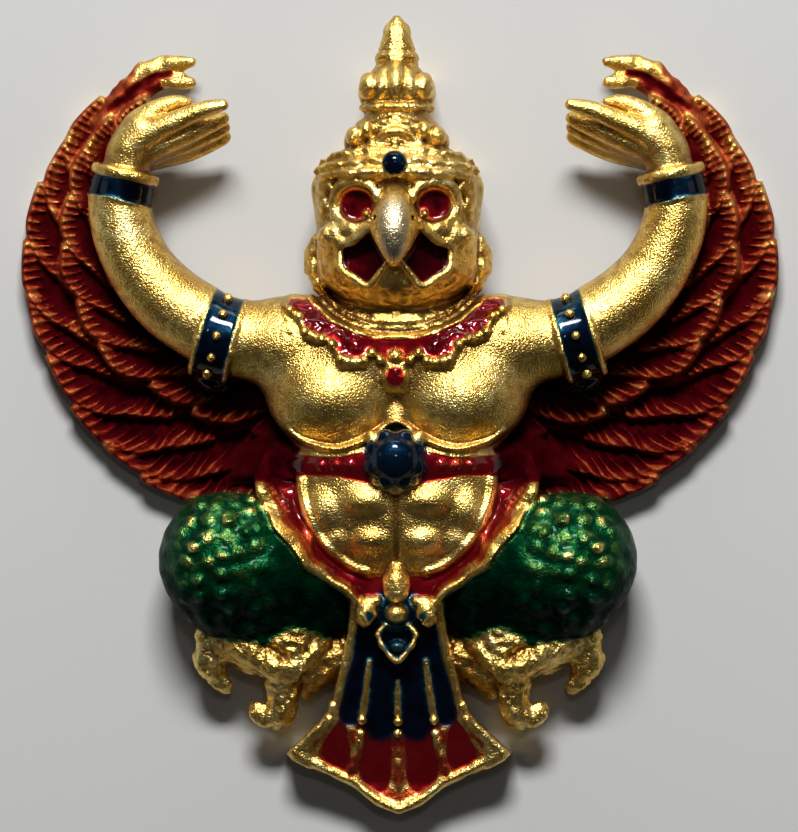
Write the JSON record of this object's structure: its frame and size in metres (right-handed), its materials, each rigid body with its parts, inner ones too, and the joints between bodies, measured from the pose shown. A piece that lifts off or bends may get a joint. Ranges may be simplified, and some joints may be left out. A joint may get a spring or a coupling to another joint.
{
  "type": "garuda figure",
  "caption": "Small gilt relief casting of a winged garuda with raised arms, tiered crown and fan tail, enamelled in red, green and blue, flat-backed.",
  "frame": {"origin": "middle of the flat back", "axes": "+X to the viewer's right, +Y towards the crown, +Z out of the front; the figure lies on its back"},
  "size_m": [0.0286, 0.03, 0.0073],
  "materials": {
    "gilt_metal": "bright gilding over a grainy cast surface",
    "red_enamel": "glossy translucent red enamel over the gilt relief",
    "green_enamel": "glossy translucent green enamel over a hammered ground",
    "blue_enamel": "glossy translucent navy and teal enamel"
  },
  "bodies": {
    "root": {"garuda_figure": "gilt_metal"}
  },
  "joints": []
}
